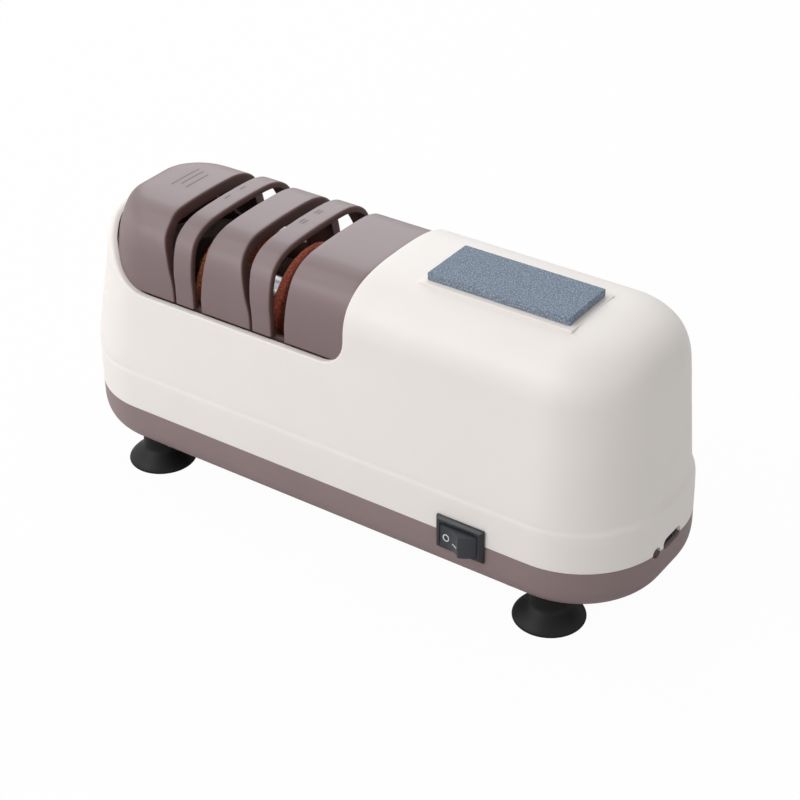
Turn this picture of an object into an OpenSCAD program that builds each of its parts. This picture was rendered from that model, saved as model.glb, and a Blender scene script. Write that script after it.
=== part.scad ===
// Electric two-stage knife sharpener with a whetstone on its roof.
// A slotted blade guide stands over two grinding wheels; the motor lies in the block at the right.
// Millimetres. +X is the charging end, -Y the switch side, +Z up; the suction feet stand on z = 0.

/* [Body] */
// Length over the body
body_l = 190; // [150:1:230]
// Depth over the body, front to back
body_w = 63.5; // [50:0.5:80]
// Corner radius in plan
corner_r = 26.6; // [10:0.1:30]
// Wall of the mouldings
wall = 2.0; // [1.6:0.1:3]
// Underside of the base
base_z = 10.5; // [8:0.5:20]
// Seam between the base and the housing
seam_z = 24.4; // [18:0.1:32]

/* [Guide] */
// Plane where the guide meets the block
joint_x = 6.5; // [0:0.5:20]
// Lower edge of the opening for the guide
notch_z = 64.6; // [55:0.1:75]
// Height of the slots' lower ends
slot_z = 65.2; // [60:0.1:75]
// How far the two arches over the wheels stand proud
arch_proud = 0.5; // [0:0.1:1.5]

/* [Wheels] */
// Radius of the grinding wheels
wheel_r = 18.5; // [15:0.5:24]
// Height of the wheel shaft
axis_z = 58.5; // [50:0.5:65]
// Centre of the coarse wheel along the shaft
coarse_x = -51.7; // [-60:0.1:-40]
// Centre of the fine wheel along the shaft
fine_x = -24.2; // [-30:0.1:-10]
// Shaft diameter
shaft_d = 6; // [4:0.5:8]
// Radial clearance of running and sliding fits
fit = 0.03; // [0.02:0.01:0.1]

/* [Whetstone] */
// Length of the stone
stone_l = 43.7; // [30:0.1:60]
// Width of the stone
stone_w = 18.6; // [10:0.1:30]
// Thickness of the stone
stone_t = 2.3; // [1:0.1:6]
// Centre of the stone along the body
stone_x = 44.5; // [30:0.05:60]
// Centre of the stone across the body
stone_y = -1.3; // [-5:0.05:5]
// Top of the pad it stands on
pad_z = 86.1; // [85:0.05:90]

/* [Feet] */
// Distance of the feet from the middle, lengthwise
foot_x = 69.2; // [50:0.1:80]
// Distance of the feet from the middle, crosswise
foot_y = 20.2; // [10:0.1:25]
// Diameter of a suction cup on the table
foot_d = 20.6; // [15:0.1:30]

/* [Switch and inlet] */
// Centre of the switch along the front
switch_x = 47.75; // [20:0.05:70]
// Height of the switch centre
switch_z = 24.5; // [20:0.1:30]
// Angle of the rocker at rest, off
rocker_rest = -14.5; // [-20:0.5:0]
// Offset of the charging inlet from the middle
port_y = -0.9; // [-10:0.1:10]
// Height of the charging inlet
port_z = 25.2; // [22:0.1:30]
// Offset of the status light from the middle
led_y = -8.8; // [-14:0.1:-7]
// Height of the status light
led_z = 24.8; // [24:0.1:28]

/* [Output] */
// Which piece is drawn

/* [Hidden] */
$fn = 48;
arc_n = 10;               // steps of each corner in a lofted section
front_y = -body_w / 2;
centre_y = 2.1;            // puts the middle of the whole depth, rocker included, over the origin
port_x = body_l / 2 - 0.8;
post_x = body_l / 2 - 35; post_y = body_w / 2 - 7.15;  // screws that join base and housing
board_x = body_l / 2 - 26.5;
pivot_y = front_y + 2.0;  // pivot line of the rocker
drum_r = 6.7;
cell_d = 18.3; cell_l = 65; cell_x = -64; cell_z = 22.4;
frame_l = -65; frame_r = 4; legs = [-50, -4];   // outer faces of the bearing frame's end walls
frame_floor = 37.2;
motor_x = 16;             // front face of the motor

// moulded surfaces as [inset at the ends, height, more inset at front and back, more inset at the left end]
shell_prof = [[0, seam_z + 0.05, 0, 0], [0.25, 35.6, 0, 0], [0.6, 36.6, 0, 0], [1.9, 37.5, 0, 0], [2.3, 46, 0.2, 0.2], [2.7, 58, 0.6, 0.8],
  [3, 66, 0.9, 1.5], [3.3, 70, 0.9, 1.9], [3.7, 73, 0.7, 2.2], [4.5, 76, 0.6, 2.4], [5.6, 78.5, 0.7, 2.4], [7.3, 80.6, 0.8, 2],
  [9.3, 82.2, 0.8, 1.2], [12.4, 83.8, 0.8, 0.4], [15.9, 84.8, 0.6, 0], [20, 85.5, 0.5, 0], [25, 85.9, 0.2, 0], [31.2, 86.05, 0, 0]];
cavity_prof = [[2, seam_z - 0.5, 0, 0], [2.1, 35.2, 0, 0], [3.7, 38.2, 0, 0], [4.1, 46, 0.3, 0.3], [4.5, 58, 0.7, 0.8], [4.8, 66, 0.8, 1.5],
  [5.2, 70, 0.8, 1.9], [5.8, 73, 0.8, 2.2], [6.8, 75.6, 0.7, 2.6], [8.2, 77.6, 0.7, 3], [10.2, 79.4, 0.8, 3.3], [13, 81.1, 0.8, 3.3],
  [17, 82.4, 0.6, 3], [22, 83.2, 0.4, 2.5], [28, 83.7, 0.2, 2], [31, 83.8, 0, 2]];
guide_prof = [[5.3, 51.5, 0, 2.2], [5.3, 60, 0, 2.2], [5.3, 65.5, 0, 2.4], [5.8, 69.5, 0, 2.6], [6.7, 73.3, 0, 2.5], [8.2, 77.2, 0, 2.2],
  [10, 80.2, 0, 1.6], [12.2, 82.1, 0, 0.9], [15.2, 83.6, 0, 0.2], [19.4, 84.5, 0, 0], [25.7, 84.85, 0, 0], [31.2, 84.95, 0, 0]];
guide_cav_prof = [[7.1, 50, 0, 2.2], [7.1, 60, 0, 2.2], [7.1, 65, 0, 2.4], [7.6, 69.2, 0, 2.6], [8.5, 72.6, 0, 2.5], [10, 76, 0, 2.2],
  [11.8, 78.7, 0, 1.6], [14.2, 80.3, 0, 0.9], [17.4, 81.5, 0, 0.2], [21.5, 82.2, 0, 0], [26.5, 82.5, 0, 0], [31, 82.6, 0, 0]];
base_prof = [[8, base_z, 0, 0], [5, base_z + 0.6, 0, 0], [2.7, base_z + 2, 0, 0], [1.1, base_z + 4.1, 0, 0], [0.25, base_z + 6.6, 0, 0], [0, base_z + 9, 0, 0], [0, seam_z - 0.05, 0, 0]];

cream = [0.91, 0.89, 0.87]; mauve = [0.55, 0.48, 0.48]; mauve_dark = [0.47, 0.40, 0.40];
steel = [0.72, 0.73, 0.75]; black = [0.07, 0.07, 0.07]; brass = [0.78, 0.66, 0.36];

// ---------- shared forms ----------

// corner points of a rounded rectangle, from one entry of a profile
function section(p) = let (hy = max(body_w / 2 - p[0] - p[2], 0.42), r = max(min(corner_r - p[0], hy), 0.4),
    right = body_l / 2 - p[0] - r, left = body_l / 2 - p[0] - p[3] - r)
  [for (c = [[right, 1, 0], [-left, 1, 90], [-left, -1, 180], [right, -1, 270]]) for (i = [0:arc_n])
    let (a = c[2] + 90 * i / arc_n) [c[0] + r * cos(a), c[1] * (hy - r) + r * sin(a), p[1]]];

// a skin through the sections of a profile
module loft(prof) {
  for (k = [0:len(prof) - 2])
    hull() {
      pts = concat(section(prof[k]), section(prof[k + 1]));
      polyhedron(points = pts, faces = [[for (i = [0:len(pts) - 1]) i]]);
    }
}

module plan(inset) {
  r = corner_r - inset;
  union() {
    square([body_l - 2 * inset - 2 * r, body_w - 2 * inset], center = true);
    square([body_l - 2 * inset, body_w - 2 * inset - 2 * r], center = true);
    for (x = [-1, 1], y = [-1, 1])
      translate([x * (body_l / 2 - inset - r), y * (body_w / 2 - inset - r)]) circle(r);
  }
}

// outline drawn in the front plane (x, z) and carried front to back
module through_y(depth = 90) rotate([90, 0, 0]) linear_extrude(depth, center = true) children();

module stadium(w, h, l) // along X
  rotate([90, 0, 90]) linear_extrude(l) union() {
    square([w - h, h], center = true);
    for (s = [-1, 1]) translate([s * (w - h) / 2, 0]) circle(h / 2);
  }

module screw(d, l, head_d, head_h) // head down, shank up
  difference() {
    union() { cylinder(d = head_d, h = head_h); cylinder(d = d, h = head_h + l); }
    for (a = [0, 90]) rotate(a) translate([-head_d * 0.3, -0.35, -0.01]) cube([head_d * 0.6, 0.7, head_h * 0.55]);
  }

module mirrored(x, y) for (sx = [-1, 1], sy = [-1, 1]) translate([sx * x, sy * y, 0]) children();

// ---------- mouldings ----------

module notch_outline() {
  r = 4.5; big = 18; x0 = -63;
  union() {
    translate([x0, notch_z]) square([joint_x - x0 - r, 40]);
    translate([x0, notch_z + r]) square([joint_x - x0, 40]);
    translate([joint_x - r, notch_z + r]) circle(r);
    intersection() {
      translate([x0, notch_z + big]) circle(big, $fn = 72);
      translate([x0 - 24, notch_z - 1]) square([24.5, 15.5]);
    }
    translate([-100, notch_z + 14.4]) square([38, 40]);
  }
}

module switch_hole() translate([switch_x, 0, switch_z]) translate([-7.3, front_y - 1, -4.7]) cube([14.6, 7, 9.4]);

module end_holes() {
  translate([body_l / 2 - 6, port_y, port_z]) stadium(9.5, 3.5, 8);
  translate([body_l / 2 - 6, led_y, led_z]) rotate([0, 90, 0]) cylinder(d = 3.3, h = 8);
}

module upper_housing() color(cream) difference() {
  union() {
    difference() {
      loft(shell_prof);
      loft(cavity_prof);
    }
    // pad under the stone
    translate([stone_x - stone_l / 2 - 1.8, stone_y - stone_w / 2 - 1.8, pad_z - 1.8]) cube([stone_l + 3.6, stone_w + 3.6, 1.8]);
    // posts for the screws that come up through the base
    for (sx = [-1, 1], sy = [-1, 1]) {
      translate([sx * post_x, sy * post_y, seam_z]) cylinder(r = 3.2, h = 13);
      translate([sx * post_x - 1, sy > 0 ? post_y + 2.4 : -post_y - 5, seam_z]) cube([2, 2.6, 13]);
    }
    // shelves that the guide stands on
    for (x = [-72, -36, 0], sy = [-1, 1])
      translate([x - 4, sy > 0 ? body_w / 2 - 8.15 : 4.15 - body_w / 2, 46.5]) cube([8, 4, 4.95]);
  }
  through_y() notch_outline();
  intersection() { // seat of the guide
    loft([for (p = guide_prof) [p[0] - 0.12, p[1] + 0.1, p[2], p[3]]]);
    translate([joint_x - 200, -50, 0]) cube([200, 100, 100]);
  }
  translate([stone_x, stone_y, pad_z]) cube([stone_l - 1.8, stone_w - 1.8, 0.5], center = true);
  for (sx = [-1, 1], sy = [-1, 1]) translate([sx * post_x, sy * post_y, seam_z - 1]) cylinder(r = 1.28, h = 11);
  switch_hole();
  end_holes();
}

module base_tray() color(mauve_dark) difference() {
  union() {
    difference() {
      loft(base_prof);
      translate([0, 0, base_z + 2.1]) linear_extrude(6) plan(5);
      translate([0, 0, base_z + 6.6]) linear_extrude(12) plan(wall + 0.3);
    }
    intersection() {
      translate([0, 0, base_z + 1]) linear_extrude(20) plan(2.2);
      union() {
        mirrored(post_x, post_y) translate([0, 0, base_z + 1]) cylinder(r = 3.4, h = seam_z - base_z - 1.1);
        // bosses under the bearing frame and the motor plate
        for (x = legs, y = [-1, 1]) translate([x, y * 19, base_z + 1]) cylinder(r = 3, h = 4);
        for (y = [-1, 1]) translate([20, y * 15, base_z + 1]) cylinder(r = 3.5, h = 4);
        // pillars of the charging board
        for (y = [-1, 1]) translate([board_x + 5.5, y * 11, base_z + 1]) cylinder(r = 2.4, h = port_z - base_z - 3.8);
      }
    }
    // cradle ribs under the cell
    for (x = [-58, -32, -6]) difference() {
      translate([x - 1, -11, base_z + 1]) cube([2, 22, 7.5]);
      translate([x - 2, 0, cell_z]) rotate([0, 90, 0]) cylinder(d = cell_d + 0.1, h = 4);
    }
  }
  mirrored(post_x, post_y) {
    translate([0, 0, base_z - 1]) cylinder(r = 2.9, h = 3.4);
    translate([0, 0, base_z]) cylinder(r = 1.6, h = 20);
  }
  mirrored(foot_x, foot_y) translate([0, 0, base_z - 1]) cylinder(r = 3 + fit, h = 6);
  for (x = legs, y = [-1, 1]) translate([x, y * 19, base_z + 2]) cylinder(r = 1.28, h = 6);
  for (y = [-1, 1]) translate([20, y * 15, base_z + 2]) cylinder(r = 1.28, h = 6);
  for (y = [-1, 1]) translate([board_x + 5.5, y * 11, base_z + 6]) cylinder(r = 1.03, h = 12);
  switch_hole();
  end_holes();
}

// [x, z] up the flanks of the slots, from the left-hand slot to the right
flanks = [
  [[-53.6, slot_z], [-56.1, 73.2], [-58.7, 79.2], [-59.8, 82.8], [-61, 84.6], [-61.2, 95]], [[-52.9, slot_z], [-55, 84], [-55, 95]],
  [[-46.3, slot_z], [-48.5, 84], [-48.5, 95]], [[-43.6, slot_z], [-43.6, 95]],
  [[-26.1, slot_z], [-28.4, 72.4], [-30.8, 78.6], [-32.2, 82.8], [-32.9, 84.6], [-33, 95]], [[-25.4, slot_z], [-28, 84], [-28, 95]],
  [[-18.7, slot_z], [-20.4, 84], [-20.4, 95]], [[-14.2, slot_z], [-14.2, 95]]];

function backwards(v) = [for (i = [len(v) - 1:-1:0]) v[i]];

// the four knife slots
module slot_outlines() for (i = [0:2:6]) polygon(concat(flanks[i], backwards(flanks[i + 1])));

// side walls that lead the blade down beside each wheel; the left one of each pair stands clear of the wheel
module lead_walls() {
  for (w = [[0, -57.9], [4, -30]]) let (e = concat([[w[1], 66], [w[1], 76.5]], [for (p = flanks[w[0]]) if (p[1] > 78) p]))
    polygon(concat(e, [for (p = backwards(e)) [p[0] - 1.8, p[1]]]));
  for (x = [-43.6, -14.2]) translate([x, 66]) square([1.8, 30]);
}

// the two arches over the wheels
module arch_zones() for (i = [1, 5]) polygon(concat([for (p = flanks[i]) [p[0], max(p[1], slot_z + 1.8)]], backwards([for (p = flanks[i + 1]) [p[0], max(p[1], slot_z + 1.8)]])));

module blade_guide() color(mauve) difference() {
  union() {
    loft(guide_prof);
    intersection() {
      loft([for (p = guide_prof) if (p[1] > 66) [max(p[0] - arch_proud * 0.4, 0.3), p[1] + arch_proud, p[2], p[3]]]);
      through_y() arch_zones();
    }
  }
  difference() {
    loft(guide_cav_prof);
    through_y() lead_walls();
  }
  through_y() slot_outlines();
  translate([joint_x - 0.1, -50, 40]) cube([120, 100, 60]);
}

// ---------- whetstone ----------

module whetstone() color([0.45, 0.50, 0.56])
  translate([stone_x, stone_y, pad_z])
    linear_extrude(stone_t) union() {
      square([stone_l - 2, stone_w], center = true);
      square([stone_l, stone_w - 2], center = true);
      for (x = [-1, 1], y = [-1, 1]) translate([x * (stone_l / 2 - 1), y * (stone_w / 2 - 1)]) circle(1);
    }

module stone_adhesive() color([0.85, 0.82, 0.7])
  translate([stone_x, stone_y, pad_z - 0.125]) cube([stone_l - 2, stone_w - 2, 0.25], center = true);

// ---------- feet ----------

module suction_foot(sx, sy) color(black) translate([sx * foot_x, sy * foot_y, 0]) rotate_extrude()
  polygon([[0, 3.4], [3.2, 3.1], [6.2, 2], [8.8, 0.5], [9.7, 0], [foot_d / 2 - 0.2, 0], [foot_d / 2, 0.3], [foot_d / 2 - 0.15, 0.8],
    [9.4, 1.7], [8, 3], [6.6, 4.2], [5.8, 5.1], [5.5, 6.2], [5.5, base_z], [3, base_z], [3, base_z + 2.2],
    [3.9, base_z + 2.4], [3.4, base_z + 3.8], [0, base_z + 4.2]]);

module foot_front_left() suction_foot(-1, -1);
module foot_front_right() suction_foot(1, -1);
module foot_rear_left() suction_foot(-1, 1);
module foot_rear_right() suction_foot(1, 1);

// ---------- switch ----------

module bevel_plate(w, h, t, c) // plate facing -Y with chamfered edges
  hull() {
    translate([-w / 2, -t + c, -h / 2]) cube([w, t - c, h]);
    translate([-w / 2 + c, -t, -h / 2 + c]) cube([w - 2 * c, t, h - 2 * c]);
  }

module switch_body() color(black) translate([switch_x, 0, switch_z]) difference() {
  union() {
    translate([0, front_y, 0]) bevel_plate(15.2, 10.5, 1.5, 0.8);
    translate([-7.2, front_y - 0.1, -4.6]) cube([14.4, 11.6, 9.2]);
  }
  translate([-5.8, front_y - 3, -3.4]) cube([11.6, 5, 6.8]);
  translate([0, pivot_y, -3.4]) cylinder(r = drum_r + 0.12, h = 6.8, $fn = 64);
  translate([0, pivot_y, -4.2]) cylinder(r = 1 + fit, h = 8.4);
}

module rocker() color(black) translate([switch_x, pivot_y, switch_z]) rotate(rocker_rest) {
  difference() {
    translate([0, 0, -3.3]) cylinder(r = drum_r, h = 6.6, $fn = 64);
    translate([-10, 1.8, -5]) cube([20, 10, 10]);
    // hollow finger face between the two tips
    translate([0, 0, -5]) linear_extrude(10)
      polygon([[-10, -9.5], [10, -9.5], [3.89, -5.46], [0, -4.5], [-3.89, -5.46]]);
  }
  translate([0, 0, -4.1]) cylinder(r = 1, h = 8.2);
}

module switch_terminals() color(brass)
  for (x = [-3.2, 3.2]) translate([switch_x + x - 0.4, front_y + 11.5, switch_z - 2.4]) difference() {
    cube([0.8, 6.5, 4.8]);
    translate([-1, 4.2, 2.4]) rotate([0, 90, 0]) cylinder(d = 1.5, h = 3);
  }

// ---------- charging end ----------

module usb_port() color(steel) difference() {
  translate([port_x - 7.4, port_y, port_z]) stadium(8.94, 3.2, 7.4);
  translate([port_x - 6.8, port_y, port_z]) stadium(8.34, 2.6, 7);
}

module usb_tongue() color(black) union() {
  translate([port_x - 6.8, port_y - 3.35, port_z - 0.35]) cube([5.8, 6.7, 0.7]);
  translate([port_x - 6.8, port_y - 2.8, port_z - 1]) cube([1.6, 5.6, 2]);
}

module charge_board() color([0.10, 0.32, 0.20]) difference() {
  translate([board_x, -13, port_z - 2.8]) cube([22, 26, 1.2]);
  for (y = [-1, 1]) translate([board_x + 5.5, y * 11, port_z - 4]) cylinder(r = 1.2, h = 4);
}

module board_components() color(black) {
  z = port_z - 1.6;
  translate([board_x + 10.5, 2.5, z]) cube([5, 4, 1.2]);
  translate([board_x + 10.5, -7.5, z]) cube([4, 4, 1.5]);
  translate([board_x + 5, -3, z]) cube([3, 6, 2.2]);
  for (i = [0:3]) translate([board_x + 10 + 2.2 * i, 9, z]) cube([1.2, 2, 0.8]);
}

module status_led() color([0.85, 0.9, 0.85]) translate([body_l / 2 - 4.4, led_y, led_z]) {
  rotate([0, 90, 0]) union() { cylinder(d = 3, h = 2.6); translate([0, 0, 2.6]) sphere(1.5); cylinder(d = 3.7, h = 1); }
  rise = led_z - (port_z - 1.6);
  for (y = [-0.9, 0.9]) translate([-1.6, y - 0.2, -rise]) { cube([0.4, 0.4, rise + 0.2]); translate([0, 0, rise - 0.2]) cube([1.7, 0.4, 0.4]); }
}

module battery_cell() color([0.16, 0.42, 0.62]) translate([cell_x, 0, cell_z]) rotate([0, 90, 0]) union() {
  cylinder(d = cell_d, h = cell_l - 1.2);
  translate([0, 0, cell_l - 1.2]) cylinder(d = 6.4, h = 1.2);
}

module battery_tabs() color(steel) {
  translate([cell_x + cell_l, -3, cell_z - 4]) cube([0.3, 6, 8]);
  translate([cell_x - 0.3, -3, cell_z - 4]) cube([0.3, 6, 8]);
}

// ---------- wheels and their frame ----------

module bearing_frame() color([0.2, 0.2, 0.21]) difference() {
  union() {
    translate([frame_l, -21, frame_floor]) cube([frame_r - frame_l, 42, 1.2]);
    for (x = [frame_l, frame_r - 3]) {
      translate([x, -13, frame_floor]) cube([3, 26, axis_z - frame_floor]);
      translate([x, 0, axis_z]) rotate([0, 90, 0]) cylinder(r = 9, h = 3);
    }
    for (x = legs, y = [-1, 1]) translate([x, y * 19, base_z + 5.1]) cylinder(r = 3, h = frame_floor - base_z - 5);
  }
  for (x = legs, y = [-1, 1]) {
    translate([x, y * 19, base_z + 4]) cylinder(r = 1.4, h = 30);
    translate([x, y * 19, base_z + 9]) cylinder(r = 2.5, h = 30);
  }
  translate([frame_l - 1, 0, axis_z]) rotate([0, 90, 0]) cylinder(r = 5.5 + fit, h = 80);
}

module bush(x) color(brass) translate([x, 0, axis_z]) rotate([0, 90, 0]) difference() {
  union() { cylinder(r = 5.5, h = 3.6); translate([0, 0, 3]) cylinder(r = 6.8, h = 1); }
  translate([0, 0, -1]) cylinder(r = shaft_d / 2 + fit, h = 8);
}
module left_bush() bush(frame_l);
module right_bush() color(brass) translate([2 * (frame_r) - frame_r, 0, 0]) mirror([1, 0, 0]) bush(0);

module wheel_shaft() color(steel) translate([frame_l - 3, 0, axis_z]) rotate([0, 90, 0]) difference() {
  cylinder(d = shaft_d, h = 10.5 - frame_l + 3);
  translate([0, 0, 1.2]) difference() { cylinder(d = 8, h = 0.8); translate([0, 0, -1]) cylinder(d = 4.6, h = 3); }
}

// two shallow cones back to back with a narrow land at the rim
module grinding_wheel(x, c) color(c) translate([x, 0, axis_z]) rotate([0, 90, 0]) difference() {
  rotate_extrude($fn = 96)
    polygon([[0, -5.6], [6, -5.6], [6.4, -4.2], [8, -4.1], [wheel_r - 0.4, -1.5], [wheel_r, -1.1],
      [wheel_r, 1.1], [wheel_r - 0.4, 1.5], [8, 4.1], [6.4, 4.2], [6, 5.6], [0, 5.6]]);
  translate([0, 0, -8]) cylinder(r = shaft_d / 2 + fit, h = 16);
}
module coarse_wheel() grinding_wheel(coarse_x, [0.59, 0.34, 0.24]);
module fine_wheel() grinding_wheel(fine_x, [0.45, 0.2, 0.17]);

module spacer(a, b) color(steel) translate([a, 0, axis_z]) rotate([0, 90, 0]) difference() {
  cylinder(r = 4.6, h = b - a);
  translate([0, 0, -1]) cylinder(r = shaft_d / 2 + fit, h = b - a + 2);
}
module wheel_spacers() {
  spacer(frame_l + 4.15, coarse_x - 5.65);
  spacer(coarse_x + 5.65, fine_x - 5.65);
  spacer(fine_x + 5.65, frame_r - 4.15);
}

module shaft_clip() color(steel) translate([frame_l - 1.75, 0, axis_z]) rotate([0, 90, 0]) difference() {
  cylinder(r = 4.8, h = 0.7);
  translate([0, 0, -1]) cylinder(r = 2.3 + fit, h = 3);
  translate([-1.6, 0, -1]) cube([3.2, 6, 3]);
}

module coupling() color([0.25, 0.25, 0.27]) translate([5.2, 0, axis_z]) rotate([0, 90, 0]) difference() {
  union() { cylinder(r = 6, h = 7.2); translate([0, 0, 2.4]) cylinder(r = 7.2, h = 2.4); }
  translate([0, 0, -1]) cylinder(r = shaft_d / 2 + fit, h = 6.45);
  translate([0, 0, 5]) cylinder(r = 1.15 + fit, h = 6);
}

// ---------- motor ----------

module motor_shaft() color(steel) translate([10.7, 0, axis_z]) rotate([0, 90, 0]) cylinder(d = 2.3, h = 50);

module motor_can() color([0.62, 0.64, 0.66]) translate([motor_x, 0, axis_z]) rotate([0, 90, 0]) difference() {
  union() { cylinder(d = 27.7, h = 38); translate([0, 0, -1.6]) cylinder(d = 10, h = 2); }
  translate([0, 0, 2]) cylinder(d = 25.5, h = 40);
  translate([0, 0, -3]) cylinder(r = 1.15 + fit, h = 6);
  for (y = [-8, 8]) translate([0, y, -1]) cylinder(r = 1.28, h = 4);
}

module motor_end_cap() color(black) translate([motor_x + 38.02, 0, axis_z]) rotate([0, 90, 0]) difference() {
  union() { cylinder(d = 27.7, h = 3.2); translate([0, 0, -3]) cylinder(d = 25.4, h = 4); translate([0, 0, 3]) cylinder(d = 9, h = 2.6); }
  translate([0, 0, -4]) cylinder(d = 22, h = 4);
  translate([0, 0, -4]) cylinder(r = 1.15 + fit, h = 12);
}

module motor_terminals() color(brass) for (y = [-8.5, 8.5])
  translate([motor_x + 41.22, y - 1.4, axis_z - 0.25]) cube([5, 2.8, 0.5]);

// pressed steel plate that carries the motor by its face
module motor_plate() color(steel) difference() {
  union() {
    translate([motor_x - 1.5, -17, base_z + 6.6]) cube([1.48, 34, axis_z + 14 - base_z - 6.6]);
    for (y = [-1, 1]) translate([motor_x - 1.5, y * 14.5 - 4.5, base_z + 5.1]) cube([12, 9, 1.5]);
  }
  translate([motor_x - 3, 0, axis_z]) rotate([0, 90, 0]) cylinder(d = 10.1, h = 6);
  for (y = [-8, 8]) translate([motor_x - 3, y, axis_z]) rotate([0, 90, 0]) cylinder(r = 1.4, h = 6);
  for (y = [-1, 1]) translate([20, y * 15, base_z + 4]) cylinder(r = 1.4, h = 4);
}

module motor_screws() color(steel) for (y = [-8, 8])
  translate([motor_x - 3.1, y, axis_z]) rotate([0, 90, 0]) screw(2.5, 3.4, 4.6, 1.58);

module base_screws() color(steel) mirrored(post_x, post_y) translate([0, 0, base_z + 0.3]) screw(2.5, seam_z - base_z + 7, 5.4, 2.08);

module frame_screws() color(steel) {
  for (x = legs, y = [-1, 1]) translate([x, y * 19, base_z + 11.05]) mirror([0, 0, 1]) screw(2.5, 6.9, 4.6, 2);
  for (y = [-1, 1]) translate([20, y * 15, base_z + 8.3]) mirror([0, 0, 1]) screw(2.5, 4.6, 4.6, 1.65);
}

module board_screws() color(steel)
  for (y = [-1, 1]) translate([board_x + 5.5, y * 11, port_z - 0.35]) mirror([0, 0, 1]) screw(2, 5, 3.8, 1.22);

// thin strips that press the blade towards the wheel
module strip(x) through_y() translate([x, 67.4]) square([0.45, 3.2]);
module strips(x) color(steel) intersection() {
  strip(x);
  for (y = [-1, 1]) translate([-80, y * (body_w / 2 - 13.75) - 5, 60]) cube([80, 10, 20]);
}
module coarse_springs() { strips(-57.88); strips(-44.07); }
module fine_springs() { strips(-29.98); strips(-14.67); }

// ---------- output ----------

translate([0, centre_y, 0]) {
upper_housing();
base_tray();
blade_guide();
whetstone();
stone_adhesive();
foot_front_left();
foot_front_right();
foot_rear_left();
foot_rear_right();
switch_body();
rocker();
switch_terminals();
usb_port();
usb_tongue();
charge_board();
board_components();
status_led();
battery_cell();
battery_tabs();
bearing_frame();
left_bush();
right_bush();
wheel_shaft();
coarse_wheel();
fine_wheel();
wheel_spacers();
shaft_clip();
coupling();
motor_shaft();
motor_can();
motor_end_cap();
motor_terminals();
motor_plate();
motor_screws();
base_screws();
frame_screws();
board_screws();
coarse_springs();
fine_springs();
}
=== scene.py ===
import math

import bmesh
import bpy
import numpy as np
from mathutils import Matrix, Vector
from mathutils.geometry import delaunay_2d_cdt


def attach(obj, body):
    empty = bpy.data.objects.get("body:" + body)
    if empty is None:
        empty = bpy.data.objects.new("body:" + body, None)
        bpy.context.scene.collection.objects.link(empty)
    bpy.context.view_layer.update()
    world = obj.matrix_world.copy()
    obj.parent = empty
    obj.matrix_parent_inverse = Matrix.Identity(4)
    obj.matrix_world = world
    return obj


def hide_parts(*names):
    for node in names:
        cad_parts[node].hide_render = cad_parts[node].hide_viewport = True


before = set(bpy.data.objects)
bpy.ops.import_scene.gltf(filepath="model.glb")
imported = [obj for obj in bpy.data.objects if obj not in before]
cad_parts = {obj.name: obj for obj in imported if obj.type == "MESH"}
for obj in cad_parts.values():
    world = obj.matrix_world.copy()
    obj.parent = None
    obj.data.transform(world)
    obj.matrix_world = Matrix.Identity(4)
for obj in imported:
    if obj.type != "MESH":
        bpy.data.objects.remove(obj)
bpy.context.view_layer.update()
scene = bpy.context.scene
print("frame loaded:", len(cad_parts), "nodes")

mm = 0.001
centreY = 2.1  # the middle of the shared frame lies this far in front of the wheel shaft, in mm
weld = 2e-6  # points closer than this are joined, in metres


def place(points):
    # drawing millimetres to metres in the shared frame
    p = np.asarray(points, float).reshape(-1, 3)
    return (p + [0, centreY, 0]) * mm


def addObject(name, data):
    obj = bpy.data.objects.new(name, data)
    scene.collection.objects.link(obj)
    return obj


def addNode(nodes, kind, values=None):
    return setInputs(nodes.new(kind), values or {})


def setInputs(node, values):
    for name, value in values.items():
        node.inputs[name].default_value = value
    return node


def newMaterial(name):
    material = bpy.data.materials.new(name)
    material.use_nodes = True
    nodes = material.node_tree.nodes
    return material, nodes, nodes["Principled BSDF"]


def join(source, output, target, entry):
    source.id_data.links.new(source.outputs[output], target.inputs[entry])


def objectNoise(nodes, scale, detail, roughness=0.5):
    coords = nodes.get("Coords") or nodes.new("ShaderNodeTexCoord")
    coords.name = "Coords"
    noise = addNode(nodes, "ShaderNodeTexNoise", {"Scale": scale, "Detail": detail, "Roughness": roughness})
    join(coords, "Object", noise, "Vector")
    return noise


def addColour(nodes, shader, source, stops):
    # base colour that follows a pattern
    ramp = nodes.new("ShaderNodeValToRGB")
    elements = ramp.color_ramp.elements
    while len(elements) < len(stops):
        elements.new(0.5)
    for element, (position, colour) in zip(elements, stops):
        element.position = position
        element.color = (*colour, 1)
    join(source, "Fac", ramp, "Fac")
    join(ramp, "Color", shader, "Base Color")


def addBump(nodes, shader, source, strength, distance):
    bump = addNode(nodes, "ShaderNodeBump", {"Strength": strength, "Distance": distance})
    join(source, "Fac", bump, "Height")
    join(bump, "Normal", shader, "Normal")


def linear(colour):
    # 8-bit screen colour to scene linear
    return tuple(((c / 255 + 0.055) / 1.055) ** 2.4 if c > 10 else c / 255 / 12.92 for c in colour)


def mouldedPlastic(name, colour, shade, roughness, grainScale=2600, grain=0.12, specular=0.45):
    # moulded plastic: faint cloudiness, fine spark-eroded grain
    material, nodes, shader = newMaterial(name)
    clouds = objectNoise(nodes, 26, 3)
    addColour(nodes, shader, clouds, [(0.35, linear(shade)), (0.65, linear(colour))])
    setInputs(shader, {"Roughness": roughness, "Specular IOR Level": specular})
    addBump(nodes, shader, objectNoise(nodes, grainScale, 2), grain, 0.00004)
    return material


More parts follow.
